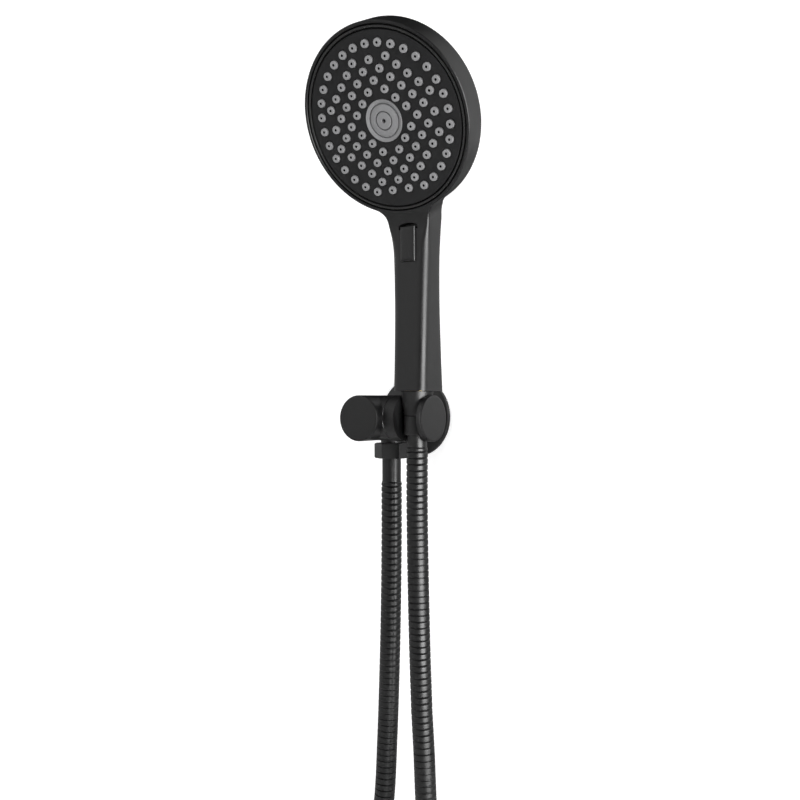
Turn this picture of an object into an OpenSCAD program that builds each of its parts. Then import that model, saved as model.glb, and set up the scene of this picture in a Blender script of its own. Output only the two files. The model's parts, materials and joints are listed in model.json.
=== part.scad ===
// Hand shower with a round spray head, resting in a wall bracket that also feeds its hose.
// Millimetres, +Z up. The origin is the centre of the wall flange's back face, on the wall.
// The shower stands out from the wall along -Y, and its seat is to the +X side.

/* [Wall bracket] */
// Diameter of the round wall flange
flange_d = 56; // [50:1:68]
// Thickness of the wall flange
flange_t = 3.5; // [3:0.5:6]
// Diameter of the two round bars
bar_d = 30; // [25:1:36]
// Distance from the wall to the front disc
reach = 70.5; // [67.5:0.5:84.5]
// Distance from the front disc back to the tilting bar's axis
setback = 21.5; // [18.5:0.5:25.5]
// Distance from the wall to the water outlet's axis
outlet_out = 31.5; // [30:0.5:34]
// Thickness of the front cap's disc
cap_t = 2.8; // [2:0.2:4]
// Minor radius of the G1/2 inlet thread
inlet_r = 9.32; // [9.3:0.01:9.6]
// Depth of the inlet thread
inlet_depth = 13; // [11:0.5:14]

/* [Outlet nut] */
// Height of the hexagon nut
nut_h = 10.4; // [9:0.2:13]
// Width of the hexagon nut across its flats
nut_af = 20.5; // [20:0.5:25]
// Length of the bare neck above the nut
neck_h = 2.3; // [1:0.1:5]
// Outside radius of both connecting threads
thread_r = 8.3; // [8:0.1:8.6]

/* [Holder] */
// Thickness of the holder's inner ear
inner_ear_t = 8; // [7:0.2:11]
// Thickness of the holder's outer ear with its end cap
outer_ear_t = 4.2; // [4.2:0.2:8]
// Thickness of the end cap
end_cap_t = 1.6; // [1.2:0.2:2]
// Thickness of the soft seat liner
liner_t = 0.9; // [0.6:0.1:1.2]
// Radius of the pivot screw's shank
pivot_r = 3; // [2.5:0.1:3.6]

/* [Hose end] */
// Outside diameter of the hose
hose_d = 14; // [12:0.5:17]
// Diameter of the swivel collar under the cone
collar_d = 17.2; // [16.5:0.1:18.4]
// Length of the swivel collar
collar_h = 12.3; // [9:0.1:16]
// Height of the cone nut
cone_h = 16.3; // [15:0.1:20]
// Flare of the cone nut, sideways per height
cone_slope = 0.135; // [0.1:0.005:0.2]
// Length of the plain ferrule on the handset side
ferrule_h = 8.9; // [7:0.1:12]
// Length of the plain ferrule on the outlet side
outlet_ferrule_h = 17.1; // [14:0.1:22]

/* [Handle] */
// Height of the handle from its foot to the head's rim
handle_len = 113.2; // [99:0.1:140]
// Width of the handle at its foot
foot_w = 24.6; // [22.6:0.2:30]
// Width of the handle where it narrows below the head
neck_w = 29.2; // [26:0.2:36]
// Depth of the handle at its foot
foot_depth = 28.2; // [25:0.2:34]
// Gap between the holder's top and the handle's foot
foot_gap = 2.8; // [1:0.1:6]
// Outside radius of the water tube
tube_r = 3.6; // [3:0.1:3.8]

/* [Thumb button] */
// Width of the thumb button
button_w = 11; // [10:0.5:13.5]
// Height of the thumb button
button_h = 22; // [18:0.5:26]
// How far the button is pressed
button_travel = 2; // [1:0.1:2]

/* [Spray head] */
// Diameter of the round head
head_d = 118.5; // [108:0.5:144]
// Angle of the spray face from upright
face_lean = 26; // [22:1:30]
// Depth of the head's straight side
side_depth = 16.7; // [13.9:0.1:20.1]
// Height of the domed back behind the side
dome_h = 9; // [8:0.5:14]
// Wall of the head and of its dome
head_wall = 2.4; // [1.8:0.1:2.8]
// Width of the outer bezel
bezel_w = 2.1; // [1.8:0.1:3.6]
// Width of the raised trim ring
trim_w = 1.4; // [1:0.1:2]
// Width of the two dark grooves
groove_w = 1; // [0.6:0.1:1.2]
// Spacing of the nozzle grid
pitch = 8.7; // [8.2:0.1:8.9]
// Radius of the outer circle of nozzles
nozzle_ring_r = 46.3; // [45.8:0.1:47]
// Radius of a nozzle tip
tip_r = 2.55; // [2.2:0.05:2.8]
// How far the tips stand out of the faceplate
tip_out = 1.2; // [0.5:0.1:2]
// Radius of the centre disc
centre_r = 13; // [12:0.1:13.8]

/* [Stored hose] */
// Radius at the middle of the hose coil's turns
coil_r = 75; // [70:1:84]
// Height of the coil's centre
coil_z = -371; // [-385:1:-371]
// Sideways place of the coil's centre
coil_x = 17; // [14:1:20]

/* [Hidden] */
$fn = 64;
// Gap of a sliding fit, of a moving seat, and of a piece let into another
slide_gap = 0.08;
seat_gap = 0.3;
fit_gap = 0.05;

bar_r = bar_d / 2;
flange_r = flange_d / 2;
pivot_y = -(reach - setback);
outlet_y = -outlet_out;
cap_y = -(reach - cap_t);
boss_x = bar_r;
holder_x = boss_x + 0.2;
slot_w = collar_d + 0.4;
seat_x = holder_x + inner_ear_t + slot_w / 2;
holder_end = seat_x + slot_w / 2 + outer_ear_t;
cap_x = holder_end - end_cap_t;

// Heights of the hose end, from the handle's foot down
foot_z = bar_r + foot_gap;
cone_z = foot_z - cone_h;
collar_z = cone_z - collar_h;
hose_top = collar_z - ferrule_h;
collar_r = collar_d / 2;
cone_r0 = collar_r - 0.2;
cone_r1 = cone_r0 + cone_slope * cone_h;
ferrule_r = hose_d / 2 - 0.5;
waterway_r = 3.5;
thread_z = foot_z - 6.6;
washer_t = 1.5;
flange_ring_t = 1.6;
stem_z = thread_z - washer_t - flange_ring_t - 0.1;
stem_r = thread_r - 2.1;

// Heights of the outlet, from the bar down
nut_top = -bar_r - neck_h;
nut_bottom = nut_top - nut_h;
lip_t = 2.6;
hose_start = nut_bottom - outlet_ferrule_h;

// Valve parts in the wall body
inlet_end = -inlet_depth;
chamber_r = 7;
chamber_end = outlet_y - 9;
housing_y = inlet_end - 2;
housing_l = 12;

// Handle, from its foot to the rim of the head
handle_top = foot_z + handle_len;
rim_y = pivot_y - 12.4;
tube_y = pivot_y + 1;
bore_r = tube_r + 0.3;
insert_r = 8.5;
insert_top = foot_z + 16;
tube_bottom = foot_z + 6.4;
sleeve_bottom = handle_top - 35;
sleeve_top = handle_top - 8;
elbow_z = handle_top - 0.9;
tube_hole_r = tube_r - 1;
spool_r = 2.72;
sleeve_hole_r = spool_r + slide_gap;
spool_z = handle_top - 26;
spool_l = 14;
button_top = handle_top - 8.1;
button_z = button_top - button_h / 2;
button_front = pivot_y - 12.4;
cap_back = button_front + 4.4;
spring_room = 1.8;
pocket_back = cap_back + button_travel + spring_room;
stem_tip = pocket_back + 0.2;

// Spray head, in its own frame: origin at the middle of its front, +z out of the face
head_r = head_d / 2;
face_y = rim_y - head_r * sin(face_lean);
face_z = handle_top + head_r * cos(face_lean);
bezel_in = head_r - bezel_w;
trim_out = bezel_in - groove_w;
trim_in = trim_out - trim_w;
plate_r = trim_in - groove_w;
dome_r = (head_r * head_r + dome_h * dome_h) / (2 * dome_h);
dome_steps = 6;
function dome_z(x) = -side_depth - dome_h + dome_r - sqrt(dome_r * dome_r - x * x);
floor_z = -2.2;
plate_z = -0.6;
tip_flat = 8;
hole_r = tip_r + 0.35;
mat_r = nozzle_ring_r + tip_r + 1.5;
mat_t = 1.6;
spreader_z = -4.2;
spreader_t = 3.2;
spreader_r = bezel_in - 0.3;
screw_ring_r = 40;
screw_r = 1.5;
boss_r = 3.6;

// Routes of the two hose legs, hand-placed: [x, y, z] in millimetres
leg_a = [
  [0, -31.5, -44.8], [0, -31.5, -80], [-0.5, -31.5, -125], [-1.5, -31.7, -170],
  [-3, -32, -215], [-5.5, -32.4, -261], [-8, -32.6, -275], [-13, -32.8, -288],
  [-21, -33, -299.5], [-31, -33.2, -309.5], [-41.5, -33.3, -319.5], [-49.5, -33.4, -331],
  [-55, -33.5, -343.5], [-57.5, -33.5, -357], [-58, -33.5, -370]];
leg_b = [
  [35.65, -48.8, -190.7], [37, -48.6, -215], [39.5, -48.4, -261], [42, -48.3, -275],
  [47, -48.2, -288], [55, -48.1, -299.5], [65, -48, -309.5], [75.5, -48, -319.5],
  [83.5, -48, -331], [89, -48, -343.5], [91.5, -48, -357], [92, -48, -370]];
leg_top = [[32, -49, -19.7], [32, -49, -60], [32.8, -49, -105], [34, -48.9, -150], [35.5, -48.8, -190]];
coil_y = -40.75;
coil_half = 14.25;
hose_sides = 10;

// ---- helpers ----

// Cylinder along Y from y0 to y1
module bar_y(r, y0, y1) {
  translate([0, max(y0, y1), 0])
    rotate([90, 0, 0])
      cylinder(r = r, h = abs(y1 - y0));
}

// Cylinder along X from x0 to x1
module bar_x(r, x0, x1) {
  translate([x0, 0, 0])
    rotate([0, 90, 0])
      cylinder(r = r, h = x1 - x0);
}

// Upright cylinder from z0 to z1
module post(r, z0, z1) {
  translate([0, 0, z0])
    cylinder(r = r, h = z1 - z0);
}

// Upright ring from z0 to z1
module collar(outer, inner, z0, z1) {
  difference() {
    post(outer, z0, z1);
    post(inner, z0 - 1, z1 + 1);
  }
}

// Round seal about Z: middle radius, section radius
module seal(middle, section) {
  rotate_extrude()
    translate([middle, 0])
      circle(r = section);
}

// Disc about Z with a bevelled top edge
module bevelled_disc(r, h, bevel) {
  rotate_extrude()
    polygon([[0, 0], [r, 0], [r, h - bevel], [r - bevel, h], [0, h]]);
}

// The spray head's own frame
module in_head() {
  translate([seat_x, face_y, face_z])
    rotate([90 + face_lean, 0, 0])
      children();
}

// The hose end's axis, and the handle tube's axis
module at_seat() {
  translate([seat_x, pivot_y, 0])
    children();
}

module at_tube() {
  translate([seat_x, tube_y, 0])
    children();
}

module at_outlet() {
  translate([0, outlet_y, 0])
    children();
}

// Section corners of a swept round tube: one ring about each route point
function unit(v) = v / norm(v);
function heading(p, i) = unit(p[min(i + 1, len(p) - 1)] - p[max(i - 1, 0)]);
function side_of(t) = unit(cross(t, [0, 1, 0]));
function ring_at(c, t, r, n) = [
  for (k = [0:n - 1])
    c + r * (cos(360 * k / n) * side_of(t) + sin(360 * k / n) * cross(t, side_of(t)))];
function faces_for(rows, n) = concat(
  [[for (k = [n - 1:-1:0]) k]],
  [for (i = [0:rows - 2], k = [0:n - 1], half = [0, 1])
    half == 0
      ? [i * n + k, i * n + (k + 1) % n, (i + 1) * n + (k + 1) % n]
      : [i * n + k, (i + 1) * n + (k + 1) % n, (i + 1) * n + k]],
  [[for (k = [0:n - 1]) (rows - 1) * n + k]]);
function flipped(faces) = [for (f = faces) [for (k = [len(f) - 1:-1:0]) f[k]]];

// Hose leg along a route
module tube_along(route, r, n) {
  rings = [for (i = [0:len(route) - 1]) ring_at(route[i], heading(route, i), r, n)];
  polyhedron(points = [for (ring = rings, p = ring) p], faces = flipped(faces_for(len(route), n)));
}

// Coil spring about Z
module coil_spring(middle, wire, length, turns) {
  steps = turns * 12;
  route = [for (i = [0:steps])
    [middle * cos(30 * i), middle * sin(30 * i), wire + (length - 2 * wire) * i / steps]];
  rings = [for (i = [0:steps])
    [for (k = [0:5])
      route[i] + wire * (cos(60 * k) * [cos(30 * i), sin(30 * i), 0] + sin(60 * k) * [0, 0, 1])]];
  polyhedron(points = [for (ring = rings, p = ring) p], faces = faces_for(steps + 1, 6));
}

// ---- wall bracket ----

module wall_flange() {
  color([0.07, 0.07, 0.07])
    difference() {
      rotate([90, 0, 0])
        bevelled_disc(flange_r, flange_t, 0.6);
      bar_y(bar_r - 2 + fit_gap, 1, -flange_t - 1);
      rotate([90, 0, 0])
        collar(flange_r - 3, flange_r - 7, -1, 1.6);
    }
}

module flange_gasket() {
  color([0.3, 0.3, 0.3])
    rotate([90, 0, 0])
      collar(flange_r - 3 - fit_gap, flange_r - 7 + fit_gap, 0, 1.5);
}

module outlet_body() {
  color([0.08, 0.08, 0.08])
    difference() {
      union() {
        bar_y(bar_r - 2, 0, -flange_t);
        bar_y(bar_r, -flange_t, cap_y);
        translate([0, pivot_y, 0])
          bar_x(bar_r, 0, boss_x);
      }
      bar_y(inlet_r, 1, inlet_end);
      bar_y(8, inlet_end + 0.1, housing_y);
      bar_y(chamber_r, housing_y + 0.1, chamber_end);
      bar_y(bar_r - 5 + fit_gap, cap_y - 1, cap_y + 5);
      at_outlet()
        post(7.3 + fit_gap, -bar_r - 1, -6);
      translate([0, pivot_y, 0])
        bar_x(pivot_r, -8, boss_x + 1);
      translate([0, pivot_y, 0])
        rotate([0, 90, 0])
          collar(pivot_r + 7, pivot_r + 3, boss_x - 1.2, boss_x + 1);
      translate([0, -9, 0])
        post(1.7, -bar_r - 1, -inlet_r + 1);
    }
}

module front_cap() {
  color([0.08, 0.08, 0.08])
    translate([0, cap_y, 0])
      rotate([90, 0, 0])
        difference() {
          union() {
            bevelled_disc(bar_r, cap_t, 0.8);
            post(bar_r - 5, -4.5, 0);
          }
          collar(bar_r - 4, bar_r - 6.8, -3.2, -1.2);
          post(bar_r - 8, -5, -1);
        }
}

module cap_seal() {
  color([0.15, 0.15, 0.15])
    translate([0, cap_y, 0])
      rotate([90, 0, 0])
        translate([0, 0, -2.2])
          seal(bar_r - 5.95, 0.85);
}

module inlet_screen() {
  color([0.7, 0.7, 0.7])
    translate([0, inlet_end - 0.9, 0])
      rotate([90, 0, 0])
        difference() {
          post(7.9, -0.8, 0.6);
          for (angle = [0:60:300])
            rotate(angle)
              translate([4.6, 0, 0])
                post(1.2, -1, 2);
          post(1.2, -1, 2);
        }
}

module valve_housing() {
  color([0.85, 0.85, 0.82])
    translate([0, housing_y, 0])
      rotate([90, 0, 0])
        difference() {
          post(chamber_r - fit_gap, 0, housing_l);
          post(3.2, -1, 2.2);
          post(5.2, 2, housing_l - 1.6);
          post(1.2 + slide_gap, 1, housing_l + 1);
          for (angle = [0:60:300])
            rotate(angle)
              translate([3.4, 0, 0])
                post(1.1, housing_l - 2, housing_l + 1);
        }
}

module valve_poppet() {
  color([0.2, 0.5, 0.7])
    translate([0, housing_y, 0])
      rotate([90, 0, 0]) {
        post(4.4, 2.05, 3.2);
        post(1.2, 3.2, housing_l);
      }
}

module valve_spring() {
  color([0.75, 0.75, 0.75])
    translate([0, housing_y - 3.25, 0])
      rotate([90, 0, 0])
        coil_spring(2.6, 0.3, housing_l - 4.9, 4);
}

module outlet_nipple() {
  color([0.75, 0.72, 0.6])
    at_outlet()
      difference() {
        union() {
          post(7.3, nut_top - 0.2, -8);
          post(thread_r, nut_top - 4.6, nut_top - 0.2);
        }
        post(waterway_r, nut_top - 6, 0);
      }
}

module outlet_nut() {
  color([0.09, 0.09, 0.09])
    at_outlet()
      difference() {
        rotate(30)
          translate([0, 0, nut_bottom])
            cylinder(d = nut_af / cos(30), h = nut_h, $fn = 6);
        post(thread_r + fit_gap, nut_bottom + lip_t, nut_top + 1);
        post(ferrule_r + 0.1, nut_bottom - 1, nut_bottom + lip_t + 1);
      }
}

module outlet_washer() {
  color([0.15, 0.15, 0.15])
    at_outlet()
      collar(thread_r - 0.1, 4.5, nut_top - 4.6 - washer_t, nut_top - 4.6);
}

module outlet_ferrule() {
  color([0.08, 0.08, 0.08])
    at_outlet()
      difference() {
        union() {
          post(ferrule_r, hose_start, nut_bottom + lip_t);
          post(thread_r - 0.1, nut_bottom + lip_t, nut_top - 4.6 - washer_t);
        }
        post(waterway_r, hose_start - 1, nut_top);
      }
}

module locking_screw() {
  color([0.6, 0.6, 0.6])
    translate([0, -9, 0])
      difference() {
        post(1.65, -bar_r + 0.6, -inlet_r + 0.2);
        translate([0, 0, -bar_r])
          cylinder(r = 0.9, h = 2.2, $fn = 6);
      }
}

// ---- hose ----

module hose_leg_outlet() {
  color([0.1, 0.1, 0.1])
    tube_along(leg_a, hose_d / 2, hose_sides);
}

module hose_coil() {
  color([0.1, 0.1, 0.1])
    translate([coil_x, coil_y, coil_z])
      rotate([90, 0, 0])
        rotate_extrude($fn = 48)
          polygon([
            [coil_r - 5, -coil_half], [coil_r + 5, -coil_half], [coil_r + 7, -coil_half + 2.5],
            [coil_r + 7, coil_half - 2.5], [coil_r + 5, coil_half], [coil_r - 5, coil_half],
            [coil_r - 7, coil_half - 2.5], [coil_r - 7, -coil_half + 2.5]]);
}

module hose_tie() {
  color([0.05, 0.05, 0.05])
    translate([coil_x, coil_y, coil_z - coil_r])
      rotate([0, 90, 0])
        translate([0, 0, -5])
          linear_extrude(height = 10)
            difference() {
              square([17.4, 2 * coil_half + 3], center = true);
              square([15, 2 * coil_half + 0.6], center = true);
            }
}

module hose_leg_handset() {
  color([0.1, 0.1, 0.1])
    tube_along(leg_b, hose_d / 2, hose_sides);
}

module hose_top() {
  color([0.1, 0.1, 0.1])
    tube_along(leg_top, hose_d / 2, hose_sides);
}

// ---- holder ----

// Round space that the cone nut sits in, grown by a gap
module seat_space(gap) {
  at_seat()
    rotate_extrude()
      polygon([
        [0, -bar_r - 1], [collar_r + gap, -bar_r - 1], [collar_r + gap, cone_z + 0.2 / cone_slope],
        [cone_r1 + gap, foot_z], [0, foot_z]]);
}

// Slot that lets the hose out to the front, grown by a gap
module slot_space(gap) {
  translate([seat_x - slot_w / 2 - gap, pivot_y - bar_r - 1, -bar_r - 1])
    cube([slot_w + 2 * gap, bar_r + 1, bar_d + 2]);
}

module pivot_screw() {
  color([0.7, 0.7, 0.7])
    translate([0, pivot_y, 0])
      difference() {
        union() {
          bar_x(pivot_r - fit_gap, -7.5, holder_x + inner_ear_t - 3);
          bar_x(pivot_r + 2, holder_x + inner_ear_t - 3, holder_x + inner_ear_t - 0.9);
        }
        translate([holder_x + inner_ear_t - 2.2, 0, 0])
          rotate([0, 90, 0])
            cylinder(r = 2, h = 3, $fn = 6);
      }
}

module friction_ring() {
  color([0.85, 0.85, 0.8])
    translate([0, pivot_y, 0])
      rotate([0, 90, 0])
        collar(pivot_r + 7 - fit_gap, pivot_r + 3 + fit_gap, boss_x - 1.2, boss_x + 0.15);
}

module holder_cradle() {
  color([0.08, 0.08, 0.08])
    difference() {
      translate([0, pivot_y, 0])
        bar_x(bar_r, holder_x, cap_x);
      seat_space(seat_gap + liner_t);
      slot_space(0);
      translate([0, pivot_y, 0])
        bar_x(pivot_r + fit_gap, holder_x - 1, seat_x);
      translate([0, pivot_y, 0])
        bar_x(pivot_r + 2.3, holder_x + inner_ear_t - 3.05, seat_x);
      translate([0, pivot_y, 0])
        bar_x(bar_r - 4, cap_x - 0.6, cap_x + 1);
    }
}

module seat_liner() {
  color([0.16, 0.16, 0.16])
    intersection() {
      translate([0, pivot_y, 0])
        bar_x(bar_r - 0.2, holder_x, cap_x - 0.7);
      difference() {
        seat_space(seat_gap + liner_t - fit_gap);
        seat_space(seat_gap);
        slot_space(fit_gap);
        translate([0, pivot_y, 0])
          bar_x(pivot_r + 2.3, holder_x, seat_x);
      }
    }
}

module end_cap() {
  color([0.09, 0.09, 0.09])
    translate([cap_x, pivot_y, 0])
      rotate([0, 90, 0]) {
        bevelled_disc(bar_r, end_cap_t, 0.4);
        post(bar_r - 4 - fit_gap, -0.55, 0);
      }
}

// ---- handle ----

// Sections of the handle from its foot up:
// [share of the height, front, depth, width, corner radius, lean of the section]
handle_rows = [
  [0, -12.3, foot_depth, foot_w, 5.6, 0],
  [0.15, -11.7, foot_depth - 1.9, foot_w, 5.5, 0],
  [0.32, -11.1, foot_depth - 3.9, foot_w + 0.2, 5.4, 0],
  [0.5, -10.7, foot_depth - 5.7, foot_w + 0.7, 5.3, 0],
  [0.68, -10.5, foot_depth - 7, foot_w + 1.8, 5.2, 0],
  [0.82, -10.4, foot_depth - 7.8, neck_w - 1.8, 5.1, 3],
  [0.91, -10.6, foot_depth - 8.2, neck_w, 5, 10],
  [0.955, -11.2, foot_depth - 8.4, neck_w + 2.5, 5, 15],
  [0.985, -12, foot_depth - 8.5, neck_w + 6.5, 5, 20],
  [1.01, -12.9, foot_depth - 8.6, neck_w + 12.5, 5, face_lean],
  [1.035, -14.2, foot_depth - 8.7, neck_w + 21, 5, face_lean],
  [1.07, -16.2, foot_depth - 9, neck_w + 30, 5, face_lean]];
arc_steps = 5;

// One rounded-rectangle section of the handle
function section_point(row, u, v) = [
  seat_x + u,
  pivot_y + row[1] + v * cos(row[5]),
  foot_z + row[0] * handle_len + v * sin(row[5])];
function section_ring(row) = [
  for (c = [0:3], k = [0:arc_steps])
    let (a = 90 * c + 90 * k / arc_steps, r = row[4])
    let (u0 = (c == 0 || c == 3 ? 1 : -1) * (row[3] / 2 - r))
    let (v0 = row[2] / 2 + (c < 2 ? 1 : -1) * (row[2] / 2 - r))
    section_point(row, u0 + r * cos(a), v0 + r * sin(a))];

module handle_solid() {
  rings = [for (row = handle_rows) section_ring(row)];
  polyhedron(
    points = [for (ring = rings, p = ring) p],
    faces = flipped(faces_for(len(handle_rows), 4 * (arc_steps + 1))));
}

// Outside form of the head, in its own frame
module head_space(extra) {
  rotate_extrude()
    polygon(concat(
      [[0, extra], [head_r, extra], [head_r, -side_depth]],
      [for (k = [1:dome_steps - 1])
        let (x = head_r * (1 - k / dome_steps))
        [x, dome_z(x)]],
      [[0, dome_z(0)]]));
}

module handle_shell() {
  color([0.08, 0.08, 0.08])
    difference() {
      handle_solid();
      in_head()
        head_space(6);
      at_seat()
        post(insert_r + fit_gap, foot_z - 1, insert_top);
      at_tube()
        post(tube_r + 2.5, insert_top - 0.1, sleeve_bottom);
      at_tube()
        post(bore_r, sleeve_bottom - 0.1, elbow_z);
      elbow_run(bore_r);
      button_pocket();
      translate([seat_x, 0, button_z])
        bar_y(1.5 + slide_gap, pocket_back - 1, tube_y);
    }
}

// Opening for the thumb button, with a finger scoop above it
module button_pocket() {
  translate([seat_x - button_w / 2 - 0.25, button_front - 8, button_top - button_h - 0.25])
    cube([button_w + 0.5, pocket_back - button_front + 8, button_h + 0.5]);
  intersection() {
    translate([seat_x, 0, button_top + 2.4 - 18])
      bar_y(18, button_front - 8, button_front + 2.8);
    translate([seat_x - button_w / 2 - 1.2, button_front - 8, button_top - 1])
      cube([button_w + 2.4, 12, 5]);
  }
}

// Bent water passage from the handle into the head
module elbow_run(r) {
  translate([seat_x, tube_y, elbow_z]) {
    sphere(r = r);
    rotate([face_lean, 0, 0])
      post(r, 0, 16);
  }
}

module tail_insert() {
  color([0.75, 0.72, 0.6])
    difference() {
      union() {
        at_seat()
          post(insert_r, foot_z, insert_top - 0.1);
        at_seat()
          post(thread_r, thread_z, foot_z);
      }
      at_seat()
        post(waterway_r, thread_z - 1, foot_z + 4);
      at_seat()
        post(waterway_r + 1, foot_z + 3.9, tube_bottom);
      at_tube()
        post(tube_r + fit_gap, tube_bottom - 0.1, insert_top + 1);
      at_tube()
        collar(tube_r + 1.9, tube_r - 1, foot_z + 8.6, foot_z + 10.6);
      at_tube()
        collar(tube_r + 1.9, tube_r - 1, foot_z + 12.2, foot_z + 14.2);
    }
}

module tube_seals() {
  color([0.15, 0.15, 0.15])
    at_tube() {
      translate([0, 0, foot_z + 9.6])
        seal(tube_r + 0.95, 0.85);
      translate([0, 0, foot_z + 13.2])
        seal(tube_r + 0.95, 0.85);
    }
}

module water_tube() {
  color([0.85, 0.85, 0.82])
    at_tube()
      collar(tube_r, tube_hole_r, tube_bottom, sleeve_bottom);
}

module valve_sleeve() {
  color([0.9, 0.9, 0.88])
    difference() {
      at_tube()
        collar(bore_r - 0.1, sleeve_hole_r, sleeve_bottom, sleeve_top);
      translate([seat_x, 0, button_z])
        bar_y(1.5 + slide_gap, pocket_back - 1, tube_y);
    }
}

module diverter_spool() {
  color([0.3, 0.5, 0.8])
    at_tube()
      translate([0, 0, spool_z])
        rotate_extrude()
          polygon([
            [0, 0], [spool_r, 0], [spool_r, 3], [1.5, 4.5],
            [1.5, spool_l - 4.5], [spool_r, spool_l - 3], [spool_r, spool_l], [0, spool_l]]);
}

module neck_elbow() {
  color([0.85, 0.85, 0.82])
    difference() {
      union() {
        at_tube()
          post(bore_r - 0.1, sleeve_top, elbow_z);
        elbow_run(bore_r - 0.1);
      }
      at_tube()
        post(tube_hole_r, sleeve_top - 1, elbow_z);
      elbow_bore();
    }
}

// Waterway of the bent passage, open at its far end
module elbow_bore() {
  translate([seat_x, tube_y, elbow_z]) {
    sphere(r = tube_hole_r);
    rotate([face_lean, 0, 0])
      post(tube_hole_r, 0, 17);
  }
}

module thumb_button() {
  color([0.09, 0.09, 0.09])
    translate([seat_x, 0, 0])
      union() {
        translate([0, button_front, button_z])
          rotate([-90, 0, 0])
            translate([0, 0, 0.6])
              linear_extrude(height = cap_back - button_front - 0.6)
                square([button_w, button_h], center = true);
        translate([-button_w / 2 + 0.5, button_front, button_top - button_h + 0.5])
          cube([button_w - 1, 0.6, button_h - 1]);
        translate([0, 0, button_z])
          bar_y(1.5, cap_back, stem_tip);
      }
}

module button_spring() {
  color([0.75, 0.75, 0.75])
    translate([seat_x, pocket_back, button_z])
      rotate([90, 0, 0])
        coil_spring(2.6, 0.25, pocket_back - cap_back, 2);
}

// ---- hose end on the handset ----

module cone_nut() {
  color([0.08, 0.08, 0.08])
    at_seat()
      difference() {
        rotate_extrude()
          polygon([[0, cone_z + 0.1], [cone_r0, cone_z + 0.1], [cone_r1, foot_z - 0.1], [0, foot_z - 0.1]]);
        post(thread_r + fit_gap, stem_z, foot_z);
        post(stem_r + slide_gap, cone_z - 1, stem_z + 1);
      }
}

module hose_washer() {
  color([0.15, 0.15, 0.15])
    at_seat()
      collar(thread_r - 0.1, 4.5, thread_z - washer_t, thread_z);
}

module swivel_collar() {
  color([0.08, 0.08, 0.08])
    at_seat()
      difference() {
        union() {
          post(collar_r, collar_z, cone_z);
          post(stem_r, cone_z, stem_z + 0.1);
          post(thread_r - 0.05, stem_z + 0.1, stem_z + flange_ring_t);
        }
        post(waterway_r, collar_z - 1, thread_z);
      }
}

module handset_ferrule() {
  color([0.08, 0.08, 0.08])
    at_seat()
      collar(ferrule_r, waterway_r, hose_top, collar_z);
}

// ---- spray head ----

module head_shell() {
  color([0.08, 0.08, 0.08])
    difference() {
      in_head()
        head_body();
      elbow_run(bore_r + 0.05);
    }
}

// Bowl of the head with its screw bosses, in the head's frame
module head_body() {
  difference() {
    union() {
      rotate_extrude()
        polygon(concat(
          [[bezel_in, 0], [head_r - 0.6, 0], [head_r, -0.6], [head_r, -side_depth]],
          [for (k = [1:dome_steps - 1])
            let (x = head_r * (1 - k / dome_steps))
            [x, dome_z(x)]],
          [[0, dome_z(0)]],
          [for (k = [0:dome_steps - 1])
            let (x = bezel_in * k / dome_steps)
            [x, dome_z(x) + head_wall]],
          [[bezel_in, -side_depth + head_wall / 2]]));
      for (angle = [90:120:330])
        rotate(angle)
          translate([screw_ring_r, 0, 0])
            post(boss_r, -side_depth - dome_h * 0.45, spreader_z - spreader_t);
    }
    for (angle = [90:120:330])
      rotate(angle)
        translate([screw_ring_r, 0, 0])
          post(screw_r + fit_gap, spreader_z - spreader_t - 6, 0);
  }
}

module face_carrier() {
  color([0.03, 0.03, 0.03])
    in_head()
      collar(bezel_in - fit_gap, mat_r + 0.2, spreader_z, floor_z);
}

module trim_ring() {
  color([0.1, 0.1, 0.1])
    in_head()
      translate([0, 0, floor_z])
        rotate_extrude()
          polygon([
            [trim_in, 0], [trim_out, 0], [trim_out, 1.6], [trim_out - 0.3, 1.9],
            [trim_in + 0.3, 1.9], [trim_in, 1.6]]);
}

// Places of the nozzles: a square grid set on its corner, and a circle around it.
// The circle is open by three towards the handle, where two more grid places fill in.
grid = pitch / sqrt(2);
grid_places = [
  for (i = [-4:4], k = [-4:4])
    if (max(abs(i), abs(k)) > 1 && abs(i) + abs(k) < 7) [grid * (i - k), -grid * (i + k)]];
foot_places = [for (i = [-1, 1]) [grid * i, -7 * grid]];
ring_places = [
  for (k = [2:30])
    let (a = -90 + 11.25 * k)
    [nozzle_ring_r * cos(a), nozzle_ring_r * sin(a)]];
nozzle_places = concat(grid_places, foot_places, ring_places);

module faceplate() {
  color([0.17, 0.17, 0.17])
    in_head()
      translate([0, 0, floor_z])
        linear_extrude(height = plate_z - floor_z)
          difference() {
            circle(r = plate_r);
            circle(r = centre_r + 0.1);
            for (place = nozzle_places)
              translate(place)
                circle(r = hole_r, $fn = tip_flat);
          }
}

module nozzle_mat() {
  color([0.6, 0.6, 0.6])
    in_head()
      union() {
        translate([0, 0, floor_z - mat_t])
          linear_extrude(height = mat_t)
            difference() {
              circle(r = mat_r);
              circle(r = centre_r - 7);
            }
        for (place = nozzle_places)
          translate([place[0], place[1], floor_z])
            cylinder(r1 = tip_r, r2 = tip_r - 0.25, h = plate_z - floor_z + tip_out, $fn = tip_flat);
      }
}

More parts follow.
